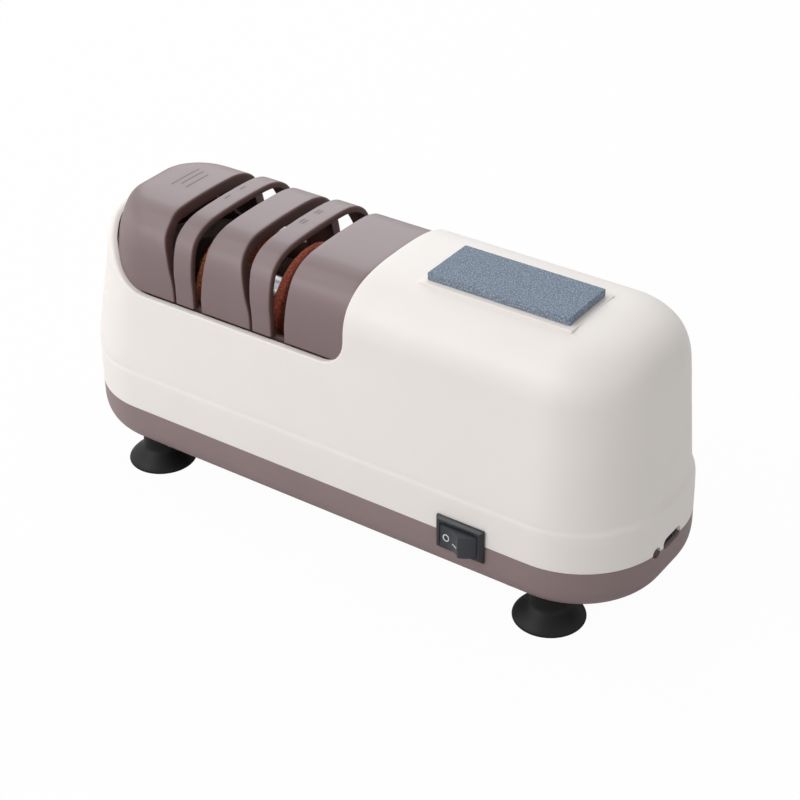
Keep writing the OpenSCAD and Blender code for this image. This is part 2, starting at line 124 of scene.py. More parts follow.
def metal(name, colour, roughness):
    # drawn metal: faint brushing along one direction
    material, nodes, shader = newMaterial(name)
    setInputs(shader, {"Metallic": 1.0, "Roughness": roughness})
    coords = nodes.new("ShaderNodeTexCoord")
    mapping = addNode(nodes, "ShaderNodeMapping", {"Scale": (60, 1800, 1800)})
    noise = addNode(nodes, "ShaderNodeTexNoise", {"Scale": 1.0})
    join(coords, "Object", mapping, "Vector")
    join(mapping, "Vector", noise, "Vector")
    dark = tuple(c * 0.82 for c in linear(colour))
    addColour(nodes, shader, noise, [(0.3, dark), (0.7, linear(colour))])
    addBump(nodes, shader, noise, 0.3, 0.00002)
    return material


def abrasive(name, dark, middle, light, scale, bump):
    # bonded grit: grains of three tones over a slow change of colour
    material, nodes, shader = newMaterial(name)
    grains = objectNoise(nodes, scale, 4, 0.7)
    addColour(nodes, shader, grains, [(0.36, linear(dark)), (0.5, linear(middle)), (0.66, linear(light))])
    setInputs(shader, {"Roughness": 0.85, "Specular IOR Level": 0.3})
    addBump(nodes, shader, grains, 0.8, bump)
    return material


finishes = {
    "cream": mouldedPlastic("creamPlastic", (237, 231, 226), (235, 229, 224), 0.5, grain=0.06),
    "mauve": mouldedPlastic("mauvePlastic", (122, 102, 103), (118, 98, 99), 0.42, grain=0.12, specular=0.55),
    # painted shade: a darker mauve on the slot walls and the guide's foot, standing in for the shade inside
    # the slots and the gap
    "mauveWallPaintedShade": mouldedPlastic("mauveWallPaintedShadePlastic", (92, 64, 60), (84, 58, 54), 0.6, grain=0.12),
    "mauveBase": mouldedPlastic("mauveBasePlastic", (138, 118, 118), (134, 114, 114), 0.48, grain=0.15),
    "black": mouldedPlastic("blackPlastic", (36, 37, 40), (31, 32, 35), 0.42, grain=0.3, grainScale=1800),
    "rocker": mouldedPlastic("rockerPlastic", (50, 52, 58), (44, 46, 52), 0.36, grain=0.12),
    "rubber": mouldedPlastic("blackRubber", (13, 13, 15), (9, 9, 11), 0.52, grain=0.3, grainScale=1500,
                             specular=0.25),
    "frame": mouldedPlastic("darkFrame", (46, 34, 32), (40, 28, 26), 0.6, grain=0.2),
    "steel": metal("steel", (205, 206, 208), 0.32),
    "brass": metal("brass", (200, 170, 96), 0.35),
    "stone": abrasive("whetstone", (92, 102, 116), (120, 132, 148), (180, 192, 206), 2500, 0.00016),
    "coarse": abrasive("coarseWheel", (104, 52, 34), (158, 88, 58), (196, 128, 92), 1500, 0.0002),
    "fine": abrasive("fineWheel", (122, 54, 42), (170, 84, 64), (198, 114, 90), 2000, 0.00014),
    "adhesive": mouldedPlastic("padAdhesive", (214, 206, 180), (204, 196, 170), 0.7),
    "board": mouldedPlastic("boardLaminate", (34, 92, 60), (28, 80, 52), 0.4),
    "chip": mouldedPlastic("chipBlack", (30, 30, 32), (24, 24, 26), 0.5),
    "sleeve": mouldedPlastic("cellSleeve", (48, 112, 160), (42, 102, 148), 0.35),
    "lamp": mouldedPlastic("lampSmoke", (92, 50, 44), (78, 42, 38), 0.15),
    "mark": mouldedPlastic("markWhite", (226, 228, 230), (218, 220, 222), 0.5),
    # painted shade: the stage marks are coloured darker in place of the shade inside their engraved grooves
    "engravedPaintedShade": mouldedPlastic("engravedPaintedShadeMauve", (96, 78, 80), (90, 72, 74), 0.6),
}
print("materials made:", len(finishes))


def makePiece(name, skin, *finish, angle=38):
    # the skin as one welded mesh with its faces outward
    mesh = bpy.data.meshes.new(name)
    mesh.from_pydata([tuple(p) for p in place(skin.points)], [], [list(f) for f in skin.faces])
    mesh.polygons.foreach_set("material_index", skin.tags)
    work = bmesh.new()
    work.from_mesh(mesh)
    bmesh.ops.remove_doubles(work, verts=work.verts, dist=weld)
    bmesh.ops.dissolve_degenerate(work, edges=work.edges, dist=1e-7)
    bmesh.ops.recalc_face_normals(work, faces=work.faces)
    work.to_mesh(mesh)
    work.free()
    for each in finish:
        mesh.materials.append(finishes[each])
    obj = addObject(name, mesh)
    smooth(obj, angle)
    return obj


def smooth(obj, angle):
    obj.data.shade_smooth()
    obj.data.set_sharp_from_angle(angle=math.radians(angle))


class Skin:
    # gathers grids of points into one list of vertices and faces; each face has the number of its finish
    def __init__(self):
        self.points, self.faces, self.tags = [], [], []

    def add(self, face, tag=0):
        self.faces.append(tuple(face))
        self.tags.append(tag)

    def grid(self, rows, closed=False, skip=None, tag=None):
        rows = np.asarray(rows, float)
        base, (high, wide) = len(self.points), rows.shape[:2]
        self.points += [tuple(p) for p in rows.reshape(-1, 3)]
        for j in range(high - 1):
            for i in range(wide if closed else wide - 1):
                a, b = base + j * wide + i, base + j * wide + (i + 1) % wide
                quad = (a, b, b + wide, a + wide)
                if skip is None or not skip(np.mean([self.points[k] for k in quad], axis=0)):
                    self.add(quad, tag(j, i) if tag else 0)

    def cap(self, loop, tag=0):
        base = len(self.points)
        self.points += [tuple(p) for p in loop]
        self.add(range(base, base + len(loop)), tag)

    def fold(self, ring):
        # closes a ring with a strip of faces from one half of it to the other
        middle = len(ring) // 2 + 1
        self.grid(np.array([ring[:middle], ring[::-1][:middle]]))


def ease(share):
    # a share kept between 0 and 1, with a soft start and end
    share = np.clip(share, 0, 1)
    return share * share * (3 - 2 * share)


def unit(v):
    v = np.asarray(v, float)
    return v / np.maximum(np.linalg.norm(v, axis=-1, keepdims=True), 1e-12)


def monotone(xs, ys, at):
    # smooth curve through the points that never overshoots them
    xs, ys, at = (np.asarray(a, float) for a in (xs, ys, at))
    h, d = np.diff(xs), np.diff(ys) / np.diff(xs)
    m = np.zeros(len(xs))
    m[0], m[-1] = d[0], d[-1]
    for i in range(1, len(xs) - 1):
        if d[i - 1] * d[i] > 0:
            a, b = 2 * h[i] + h[i - 1], h[i] + 2 * h[i - 1]
            m[i] = (a + b) / (a / d[i - 1] + b / d[i])
    k = np.clip(np.searchsorted(xs, at) - 1, 0, len(h) - 1)
    t = (at - xs[k]) / h[k]
    return (ys[k] * (1 + 2 * t) * (1 - t) ** 2 + h[k] * m[k] * t * (1 - t) ** 2
            + ys[k + 1] * t * t * (3 - 2 * t) + h[k] * m[k + 1] * t * t * (t - 1))


body = {"length": 190, "width": 63.5, "corner": 26.6, "leastHalf": 0.42, "leastRadius": 0.4}

# [inset, height, extra inset front and back, extra inset at the left end]
housingProfile = [[0, 24.5, 0, 0], [0.02, 26, 0, 0], [0.25, 35.6, 0, 0], [0.55, 36.6, -0.05, -0.05],
                  [1.5, 37.5, -0.9, -0.9], [1.95, 38.3, -1.3, -1.3], [2.1, 41, -1.15, -1.15],
                  [2.3, 46, -0.75, -0.75], [2.7, 58, 0.3, 0.5], [3, 66, 0.9, 1.5], [3.3, 70, 0.9, 1.9],
                  [3.7, 73, 0.7, 2.2], [4.5, 76, 0.6, 2.4], [5.6, 78.5, 0.7, 2.4], [7.3, 80.6, 0.8, 2],
                  [9.3, 82.2, 0.8, 1.2], [12.4, 83.8, 0.8, 0.4], [15.9, 84.8, 0.6, 0], [20, 85.5, 0.5, 0],
                  [25, 85.9, 0.2, 0], [31.2, 86.05, 0, 0]]
guideProfile = [[5.3, 51.5, 0, 2.2], [5.3, 60, 0, 2.2], [5.3, 65.5, 0, 2.4], [5.8, 69.5, 0, 2.6],
                [6.7, 73.3, 0, 2.5], [8.2, 77.2, 0, 2.0], [10, 80.2, 0, 1.2], [12.2, 82.1, 0, -0.3],
                [15.2, 83.6, 0, -2.2], [19.4, 84.5, 0, -4.4], [25.7, 84.85, 0, -6.6], [31.2, 84.95, 0, -8.0]]
baseProfile = [[8, 10.5, 0, 0], [5, 11.1, 0, 0], [2.7, 12.5, 0, 0], [1.1, 14.6, 0, 0], [0.25, 17.1, 0, 0],
               [0, 19.5, 0, 0], [0, 24.0, 0, 0], [0.12, 24.3, 0, 0]]

# the walls are left out behind the switch, in front of this line and between these heights
opening = {"left": 41, "right": 54.5, "front": -25, "foot": 20, "top": 29}


class Surface:
    # a rounded plan that changes with height, as the mouldings have
    def __init__(self, profile):
        table = np.asarray(profile, float)
        runs = np.r_[0, np.cumsum(np.hypot(np.diff(table[:, 0]), np.diff(table[:, 1])))]
        self.end = float(runs[-1])
        self.fine = np.linspace(0, self.end, 4001)
        self.values = [monotone(runs, table[:, i], self.fine) for i in range(4)]

    def entry(self, run):
        return [float(np.interp(run, self.fine, v)) for v in self.values]

    def runAt(self, height):
        return float(np.interp(height, self.values[1], self.fine))

    def heightAt(self, x, y):
        # height of the surface over a place near the left end
        low, high = 0.0, self.end
        for _ in range(30):
            run = (low + high) / 2
            _, half, radius, _, left = self.shape(run)
            inside = math.hypot(max(-x - left, 0), max(abs(y) - half + radius, 0)) <= radius
            low, high = (run, high) if inside else (low, run)
        return self.entry(low)[1]

    def endPoint(self, y, z):
        # the point of the right-hand end wall at that place across and height
        _, half, radius, right, _ = self.shape(self.runAt(z))
        over = max(abs(y) - (half - radius), 0)
        return [right + math.sqrt(max(radius ** 2 - over ** 2, 0)), y, z]

    def shape(self, run):
        inset, height, more, left = self.entry(run)
        half = max(body["width"] / 2 - inset - more, body["leastHalf"])
        radius = max(min(body["corner"] - inset, half), body["leastRadius"])
        right = body["length"] / 2 - inset - radius
        return height, half, radius, right, right - left

    def point(self, run, station):
        # station: ("line", side, x), ("corner", side, end, angle from the side wall), ("end", end, share)
        height, half, radius, right, left = self.shape(run)
        kind = station[0]
        if kind == "line":
            return [min(max(station[2], -left), right), station[1] * half, height]
        if kind == "corner":
            side, end, angle = station[1:]
            reach = right if end > 0 else left
            along, across = radius * math.sin(angle), radius * math.cos(angle)
            return [end * (reach + along), side * (half - radius + across), height]
        end, share = station[1:]
        reach = right if end > 0 else left
        return [end * (reach + radius), share * (half - radius), height]

    def normal(self, run, station):
        # outward direction of the surface at a station
        step = 0.02
        a = np.array(self.point(min(run + step, self.end), station))
        b = np.array(self.point(max(run - step, 0), station))
        up = a - b
        if station[0] == "corner":
            side, end, angle = station[1:]
            out = [end * math.sin(angle), side * math.cos(angle), 0]
        else:
            out = [0, station[1], 0] if station[0] == "line" else [station[1], 0, 0]
        n = unit(np.cross([out[1], -out[0], 0], up))
        if np.dot(n, out) < -1e-4:
            n = -n
        return -n if n[2] < -0.3 else n


def cornerStations(side, end, count):
    return [("corner", side, end, a) for a in np.linspace(0, math.pi / 2, count)]


quarterTurns = [math.pi / 2 * k / 5 for k in range(1, 6)]


def rimRings(edge, normals, inward, radius, depth, tuck):
    # rings of a rounded edge that turns from the surface into a wall, whose foot is tucked in
    rings = []
    for a in quarterTurns:
        rings.append(edge - normals * radius * (1 - math.cos(a)) - inward * radius * math.sin(a))
    rings.append(rings[-1] - normals * (depth - radius))
    return rings + [rings[-1] + inward * tuck]


# the window is given as its left, right, foot and top
inlet = {"middle": -0.9, "height": 25.2, "width": 9.5, "depth": 3.5, "lightMiddle": -8.8,
         "lightHeight": 24.8, "lightWidth": 3.3, "wall": 2.2, "window": (-12.5, 6.0, 20.0, 29.4),
         "endFrom": 70, "seamFrom": 86, "clear": 4.9, "lightClear": 1.9}


def stadiumOutline(y, z, width, height):
    r, half = height / 2, (width - height) / 2
    turn = np.linspace(-math.pi / 2, math.pi / 2, 14)
    right = [(y + half + r * math.cos(a), z + r * math.sin(a)) for a in turn]
    left = [(y - half - r * math.cos(a), z - r * math.sin(a)) for a in turn]
    return right + left


inletHoles = [stadiumOutline(*[inlet[key] for key in keys])
              for keys in (("middle", "height", "width", "depth"),
                           ("lightMiddle", "lightHeight", "lightWidth", "lightWidth"))]


def insideOutline(point, outline):
    y, z = point
    inside = False
    for (y0, z0), (y1, z1) in zip(outline, outline[1:] + outline[:1]):
        if (z0 > z) != (z1 > z) and y < y0 + (z - z0) / (z1 - z0) * (y1 - y0):
            inside = not inside
    return inside


def edgeDistance(point, outline):
    best = math.inf
    p = np.array(point)
    for a, b in zip(outline, outline[1:] + outline[:1]):
        a, b = np.array(a), np.array(b)
        t = np.clip(np.dot(p - a, b - a) / max(np.dot(b - a, b - a), 1e-9), 0, 1)
        best = min(best, float(np.linalg.norm(p - a - t * (b - a))))
    return best


def fillWindow(skin, surface, rows, cols):
    # closes a window of the end wall with triangles that leave the holes open, and gives the holes walls
    block = np.array([[rows[j][i] for i in range(cols[0], cols[1] + 1)] for j in range(len(rows))])
    high, wide = block.shape[:2]
    rim = [(0, i) for i in range(wide)] + [(j, wide - 1) for j in range(1, high)]
    rim += [(high - 1, i) for i in range(wide - 2, -1, -1)] + [(j, 0) for j in range(high - 2, 0, -1)]
    known = [block[k] for k in rim]
    edges = [(i, (i + 1) % len(rim)) for i in range(len(rim))]
    flat = [(p[1], p[2]) for p in known]
    low, top = block[0, :, 2].max(), block[-1, :, 2].min()
    for outline in inletHoles:
        if max(z for _, z in outline) < low or min(z for _, z in outline) > top:
            continue
        start = len(flat)
        flat += outline
        edges += [(start + i, start + (i + 1) % len(outline)) for i in range(len(outline))]
    for j in range(1, high - 1):
        for i in range(1, wide - 1):
            spot = (block[j, i, 1], block[j, i, 2])
            if all(edgeDistance(spot, o) > 0.3 and not insideOutline(spot, o) for o in inletHoles):
                flat.append(spot)
    points, _, triangles, source, *_ = delaunay_2d_cdt([Vector(f) for f in flat], edges, [], 1, 1e-6)
    solid = []
    for k, p in enumerate(points):
        own = [i for i in source[k] if i < len(known)]
        solid.append(list(known[own[0]]) if own else surface.endPoint(p[0], p[1]))
    base = len(skin.points)
    skin.points += [tuple(p) for p in solid]
    used = {}
    for tri in triangles:
        middle = np.mean([(solid[k][1], solid[k][2]) for k in tri], axis=0)
        if any(insideOutline(middle, o) for o in inletHoles) or not low - 1e-3 <= middle[1] <= top + 1e-3:
            continue
        skin.add(base + k for k in tri)
        for a, b in zip(tri, list(tri[1:]) + [tri[0]]):
            used[frozenset((a, b))] = used.get(frozenset((a, b)), 0) + 1
    for pair, count in used.items():
        a, b = tuple(pair)
        middle = ((solid[a][1] + solid[b][1]) / 2, (solid[a][2] + solid[b][2]) / 2)
        if count == 1 and any(edgeDistance(middle, o) < 0.03 for o in inletHoles):
            behind = [[solid[k][0] - inlet["wall"], *solid[k][1:]] for k in (b, a)]
            skin.cap([solid[a], solid[b]] + behind)


def inletWindow(rows):
    # the rows and columns of a grid that lie in the window of the charging end
    left, right, _, top = inlet["window"]
    first = rows[0]
    cols = [i for i, p in enumerate(first) if p[0] > inlet["endFrom"] and left <= p[1] <= right]
    return (min(cols), max(cols)), [j for j, row in enumerate(rows) if row[cols[0]][2] <= top]


def nearInlet(c):
    # true where the seam passes the two holes of the end wall
    holes = ((inlet["middle"], inlet["clear"]), (inlet["lightMiddle"], inlet["lightClear"]))
    return c[0] > inlet["seamFrom"] and any(abs(c[1] - middle) < clear for middle, clear in holes)


def inSwitch(c):
    inside = opening["left"] < c[0] < opening["right"] and c[1] < opening["front"]
    return inside and opening["foot"] < c[2] < opening["top"]


def turnedIn(loop):
    # the same loop moved inward, for the edges that turn in at the seam
    return [[p[0] * 0.985, p[1] * 0.95, p[2]] for p in loop]


housing = {"notchHeight": 61.8, "notchCorner": 7.5, "notchSweep": 19.6, "sweepX": -62.6, "endHeight": 79.0,
           "endBlend": 1.1, "jointX": 6.5, "lip": 0.45, "endLip": 1.5, "lipSwell": (-66, 16),
           "lipDepth": 2.2, "evening": 14,
           "levels": (24.5, 24.56, 24.75, 27, 29, 32, 35, 35.6, 36.1, 36.6, 36.9, 37.2, 37.5, 37.8, 38.2,
                      40, 44, 48, 52, 56, 60)}


def buildHousing():
    surface = Surface(housingProfile)
    lip, joint, low = housing["lip"], housing["jointX"], housing["notchHeight"]
    r, big, sweepX = housing["notchCorner"], housing["notchSweep"], housing["sweepX"]
    lowRuns = [surface.runAt(z) for z in housing["levels"]]

    def lipAt(x):
        # radius of the rounded lip, wider round the left end
        start, over = housing["lipSwell"]
        return lip + (housing["endLip"] - lip) * ease((start - x) / over)

    def columnTop(x):
        # height of the inner line of the lip over a place on the wall
        if x > joint - r:
            reach = r + lip
            return low + r - math.sqrt(max(reach ** 2 - (x - joint + r) ** 2, 0))
        if x > sweepX:
            return low - lip
        reach = big + lipAt(x)
        top, k = housing["endHeight"] - lipAt(x), housing["endBlend"]
        if x <= sweepX - reach:
            return top
        arc = low + big - math.sqrt(max(reach ** 2 - (x - sweepX) ** 2, 0))
        return -k * math.log(math.exp(-arc / k) + math.exp(-top / k))

    # columns of the left part, from the joint at the front round the left end to the joint at the back
    angles = np.linspace(0, math.pi / 2, 9)
    frontX = [joint - r + (r + lip) * math.sin(a) for a in angles[::-1]]
    frontX += list(np.linspace(joint - r, sweepX, 30))[1:] + [-65, -67]
    half = [("line", -1, x) for x in frontX] + cornerStations(-1, -1, 44)
    mirrored = [(s[0], -s[1], *s[2:]) for s in half[::-1]]
    stations = half + [("end", -1, s) for s in (-0.5, 0, 0.5)] + mirrored
    tops = []
    for s in stations:
        x = surface.point(surface.runAt(72), s)[0]
        top = columnTop(s[2] if s[0] == "line" else x)
        if s[0] != "line":
            for _ in range(3):
                x = surface.point(surface.runAt(top), s)[0]
                top = columnTop(x)
        tops.append(surface.runAt(top))

    # the line of the opening is evened out round the left end
    tops = np.array(tops)
    for _ in range(housing["evening"]):
        even = np.convolve(tops, (0.25, 0.5, 0.25), "same")
        tops[len(frontX):-len(frontX)] = even[len(frontX):-len(frontX)]
    columns = []
    for s, end in zip(stations, tops):
        runs = lowRuns + list(np.linspace(lowRuns[-1], end, 9))[1:]
        columns.append([surface.point(q, s) for q in runs])
    skin = Skin()
    skin.grid(np.transpose(columns, (1, 0, 2)))

    # the block: rows run from the joint at the front round the right end to the joint at the back
    upperRuns = list(np.linspace(lowRuns[-1], surface.runAt(low + r), 9))[1:]
    upperRuns += list(np.linspace(surface.runAt(low + r), surface.end, 56))[1:]
    start = joint + lip
    xs = np.r_[np.linspace(start, opening["left"], 14), 45.5, 50, np.linspace(opening["right"], 68.4, 6)]
    xs = sorted(set(np.round(xs, 6)))
    front = [("line", -1, x) for x in xs] + cornerStations(-1, 1, 28)[1:]
    back = [(s[0], 1, *s[2:]) for s in front[::-1]]
    ring = front + [("end", 1, s) for s in np.linspace(-0.8, 0.8, 9)] + back
    blockRuns = lowRuns + upperRuns
    rows = np.array([[surface.point(q, s) for s in ring] for q in blockRuns])

    cols, levels = inletWindow(rows)
    sideFrom, sideTo, top = rows[0, cols[0], 1], rows[0, cols[1], 1], rows[levels[-1], cols[0], 2]

    def leftOpen(c):
        return inSwitch(c) or (c[0] > inlet["endFrom"] and sideFrom < c[1] < sideTo and c[2] < top)

    skin.grid(rows, skip=leftOpen)
    fillWindow(skin, surface, rows[:levels[-1] + 1], cols)
    skin.fold(rows[-1])

    # one rounded lip round the whole opening: over the crest, down, left, round the end and back
    lipRuns = [q for q in blockRuns if q >= surface.runAt(low + r) - 1e-6]
    path = [(("line", -1, start), q) for q in lipRuns[::-1]]
    path += list(zip(stations, tops))[1:-1]
    path += [(("line", 1, start), q) for q in lipRuns]
    edge = np.array([surface.point(q, s) for s, q in path])
    normals = unit(np.array([surface.normal(q, s) for s, q in path]))
    along = unit(np.roll(edge, -1, axis=0) - np.roll(edge, 1, axis=0))
    inward = unit(np.cross(normals, along))
    radius = np.array([lipAt(x) for x in edge[:, 0]])[:, None]
    rings = [edge] + rimRings(edge, normals, inward, radius, housing["lipDepth"], 1.0)
    skin.grid(np.array(rings), closed=True)

    # turned-in lower edge, so that the seam shows as a line with depth
    loop = [surface.point(0, s) for s in stations + ring[::-1]]
    skin.grid(np.array([loop, turnedIn(loop)]), skip=nearInlet)
    return makePiece("upperHousing", skin, "cream", angle=34)


def grainAt(points, direction):
    # values from 0 to 1 that look random, fixed by the place
    values = np.sin(np.round(points, 4) @ np.array(direction)) * 437.5
    return values - np.floor(values)


def roundedBlock(low, high, radius, spacing, rough=0.0):
    # closed block with rounded edges on an even grid, its skin roughened by the given amount
    low, high = np.array(low, float), np.array(high, float)

    def ticks(axis):
        span = high[axis] - low[axis]
        edge = [0, 0.35 * radius, 0.7 * radius, radius]
        count = max(int(round((span - 2 * radius) / spacing)), 1)
        middle = np.linspace(radius, span - radius, count + 1)[1:-1]
        return low[axis] + np.array(edge + list(middle) + [span - e for e in edge[::-1]])

    skin = Skin()
    for axis in range(3):
        across, along = ticks((axis + 1) % 3), ticks((axis + 2) % 3)
        for side in (low[axis], high[axis]):
            rows = np.zeros((len(across), len(along), 3))
            rows[..., axis] = side
            rows[..., (axis + 1) % 3], rows[..., (axis + 2) % 3] = across[:, None], along[None, :]
            skin.grid(rows)
    points = np.array(skin.points)
    core = np.clip(points, low + radius, high - radius)
    away = points - core
    length = np.linalg.norm(away, axis=1, keepdims=True)
    grain = grainAt(points, [127.1, 311.7, 74.7])[:, None]
    skin.points = [tuple(p) for p in core + away / np.maximum(length, 1e-9) * (radius - rough * grain)]
    return skin


def applyAll(obj):
    # the modifiers' result as a plain mesh
    graph = bpy.context.evaluated_depsgraph_get()
    mesh = bpy.data.meshes.new_from_object(obj.evaluated_get(graph))
    obj.modifiers.clear()
    obj.data = mesh


pad = {"size": (47.3, 22.2), "at": (44.5, -1.3), "foot": 84.2, "top": 86.1, "edge": 0.35, "grid": 2.0}


def buildPad():
    (w, d), (x, y) = pad["size"], pad["at"]
    low, high = (x - w / 2, y - d / 2, pad["foot"]), (x + w / 2, y + d / 2, pad["top"])
    return makePiece("stonePad", roundedBlock(low, high, pad["edge"], pad["grid"]), "cream")


housingPiece = buildHousing()
padPiece = buildPad()
for piece in (housingPiece, padPiece):
    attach(piece, "body")
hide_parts("upper_housing")
print("housing built:", len(housingPiece.data.polygons), "faces")


def buildBase():
    surface = Surface(baseProfile)
    xs = (-68.4, -40, -10, 20, opening["left"], 47, opening["right"], 60, 68.4)
    front = [("line", -1, x) for x in xs] + cornerStations(-1, 1, 30)[1:]
    back = [(s[0], 1, *s[2:]) for s in front[::-1]]
    left = cornerStations(1, -1, 30)[1:] + [("end", -1, 0)] + cornerStations(-1, -1, 30)[:0:-1]
    ring = front + [("end", 1, s) for s in np.linspace(-0.8, 0.8, 9)] + back + left
    runs = sorted(list(np.linspace(0, surface.end, 36)) + [surface.runAt(inlet["window"][2])])
    rows = np.array([[surface.point(q, s) for s in ring] for q in runs])
    first = next(j for j, row in enumerate(rows) if row[0][2] > inlet["window"][2])
    cols, _ = inletWindow(rows[first:])
    sideFrom, sideTo, foot = rows[-1, cols[0], 1], rows[-1, cols[1], 1], rows[first, cols[0], 2]

    def leftOpen(c):
        return inSwitch(c) or (c[0] > inlet["endFrom"] and sideFrom < c[1] < sideTo and c[2] > foot)

    skin = Skin()
    skin.grid(rows, closed=True, skip=leftOpen)
    fillWindow(skin, surface, rows[first:], cols)
    skin.grid(np.array([rows[-1], turnedIn(rows[-1])]), closed=True, skip=nearInlet)
    skin.cap(rows[0][::-1])
    return makePiece("baseTray", skin, "mauveBase", angle=40)


basePiece = buildBase()
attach(basePiece, "body")
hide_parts("base_tray")
print("base built")


# [x, z] up the flanks of the slots, from the left-hand slot to the right
flanks = {
    "aRight": [[-53.6, 64.4], [-53.6, 65.2], [-56.1, 73.2], [-58.7, 79.2], [-59.8, 82.8], [-61, 84.6],
               [-61.2, 95]],
    "n1Left": [[-52.9, 64.4], [-52.9, 65.2], [-55, 84], [-55, 95]],
    "n1Right": [[-46.3, 64.4], [-46.3, 65.2], [-48.5, 84], [-48.5, 95]],
    "bLeft": [[-43.6, 64.4], [-43.6, 95]],
    "bRight": [[-26.1, 64.4], [-26.1, 65.2], [-28.4, 72.4], [-30.8, 78.6], [-32.2, 82.8], [-32.9, 84.6],
               [-33, 95]],
    "n2Left": [[-25.4, 64.4], [-25.4, 65.2], [-28, 84], [-28, 95]],
    "n2Right": [[-18.7, 64.4], [-18.7, 65.2], [-20.4, 84], [-20.4, 95]],
    "cLeft": [[-14.2, 64.4], [-14.2, 95]],
    "joint": [[6.38, 60], [6.38, 95]],
}
guide = {"edge": 0.8, "crispEdge": 0.25, "archThick": 1.7, "landThick": 3.6, "archProud": 0.5, "foot": 62.4,
         "crest": 84.6, "endFrom": -62.7}
guideSurface = Surface(guideProfile)


def flankX(name, z, y=-1.0):
    # behind the crest the right-hand flanks go straight down
    table = np.array(flanks[name])
    if y > 0 and name.endswith("Right"):
        z = max(z, guide["crest"])
    return float(monotone(table[:, 1], table[:, 0], np.clip(z, table[0, 1], table[-1, 1])))


def guideRuns():
    return np.linspace(guideSurface.runAt(guide["foot"]), guideSurface.end, 74)


def guidePath(proud=0.0):
    # points (y, z) and outward normals from the front foot over the crest to the back foot
    shapes = [guideSurface.shape(q) for q in guideRuns()]
    pts = np.array([[-half, height] for height, half, *_ in shapes])
    pts = np.vstack([pts, (pts * [-1, 1])[::-1]])
    tangent = np.gradient(pts, axis=0)
    normal = unit(np.stack([-tangent[:, 1], tangent[:, 0]], axis=1))
    rise = ease((pts[:, 1] - 66) / 6)
    return pts + normal * (proud * rise)[:, None], normal


def landLoops(left, right, thick, proud, inner):
    # closed sections of one land between two flanks: crisp at its left edge, rounded at its right one
    path, normal = guidePath(proud)
    loops = []
    for (y, z), (ny, nz) in zip(path, normal):
        a, b = flankX(left, z, y), flankX(right, z, y)
        r = min(guide["edge"], (b - a) * 0.3)
        crisp = min(guide["crispEdge"], r)
        row = [(x, 0.0) for x in np.linspace(a + crisp, b - r, inner)]
        row += [(b - r + r * math.sin(t), r * (1 - math.cos(t))) for t in quarterTurns]
        row += [(b, thick)] + [(x, thick) for x in np.linspace(b - 0.3, a + 0.3, 4)] + [(a, thick)]
        row += [(a + crisp * (1 - math.sin(t)), crisp * (1 - math.cos(t))) for t in quarterTurns[::-1]]
        loops.append([[x, y - ny * depth, z - nz * depth] for x, depth in row])
    return np.array(loops)


def buildGuide():
    skin = Skin()
    for left, right, thick, proud in (("n1Left", "n1Right", guide["archThick"], guide["archProud"]),
                                      ("bLeft", "bRight", guide["landThick"], 0),
                                      ("n2Left", "n2Right", guide["archThick"], guide["archProud"]),
                                      ("cLeft", "joint", guide["landThick"], 0)):
        inner = 7 if proud else 12
        loops = landLoops(left, right, thick, proud, inner)
        # the slot walls and end faces of each land (tag 1) take the darker mauve, a painted shade of the
        # slots' insides
        skin.grid(loops, closed=True, tag=lambda j, i: int(inner + 1 <= i <= inner + 9))
        skin.cap(loops[0], 1)
        skin.cap(loops[-1][::-1], 1)

    # left land: its skin closes round the left end
    lip = guide["edge"]
    stations = [("line", -1, x) for x in (-64, -66)] + cornerStations(-1, -1, 34)
    stations += [("end", -1, -0.5), ("end", -1, 0)]
    rows = []
    for q in guideRuns():
        height, half, *_ = guideSurface.shape(q)
        front = [[flankX("aRight", height) - lip, -half, height], [guide["endFrom"], -half, height]]
        back = [[guide["endFrom"], half, height], [flankX("aRight", height, 1) - lip, half, height]]
        middle = [guideSurface.point(q, s) for s in stations]
        rows.append(front + middle + [[p[0], -p[1], p[2]] for p in middle[:-1][::-1]] + back)
    rows = np.array(rows)
    skin.grid(rows)
    skin.fold(rows[-1])
    # the turned-in foot and the walls of the rounded slot edge take the same painted shade
    skin.grid(np.array([rows[0], rows[0] * [0.97, 0.92, 1]]), tag=lambda j, i: 1)
    path, normal = guidePath()
    normals = np.column_stack([np.zeros(len(normal)), normal])
    edge = np.array([[flankX("aRight", z, y) - lip, y, z] for y, z in path])
    inward = np.tile([-1.0, 0, 0], (len(edge), 1))
    rings = [edge] + rimRings(edge, normals, inward, lip, guide["landThick"], 3)
    skin.grid(np.array(rings), tag=lambda j, i: int(j >= 2))
    return makePiece("bladeGuide", skin, "mauve", "mauveWallPaintedShade", angle=38)


guidePiece = buildGuide()
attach(guidePiece, "body")
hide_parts("blade_guide")
print("guide built:", len(guidePiece.data.polygons), "faces")

skirt = {"across": 24.9, "top": 62.2, "thick": 1.6, "ends": (-64, -36, -13, 5)}


def buildSkirt():
    # the closed foot of the guide under the slots, behind a narrow gap; it is coloured in the darker painted
    # shade of the slot walls, so that the gap reads dark
    skin = Skin()
    y, top, thick = skirt["across"], skirt["top"], skirt["thick"]
    section = [(y, top - 7), (y, top - 0.3), (y - 0.1, top - 0.1), (y - 0.3, top), (y - thick + 0.3, top),
               (y - thick + 0.1, top - 0.1), (y - thick, top - 0.3), (y - thick, top - 7)]
    for side in (-1, 1):
        rows = [[[x, side * a, b] for a, b in section] for x in skirt["ends"]]
        skin.grid(np.array(rows), closed=True)
        skin.cap(rows[0])
        skin.cap(rows[-1])
    return makePiece("guideFoot", skin, "mauveWallPaintedShade")


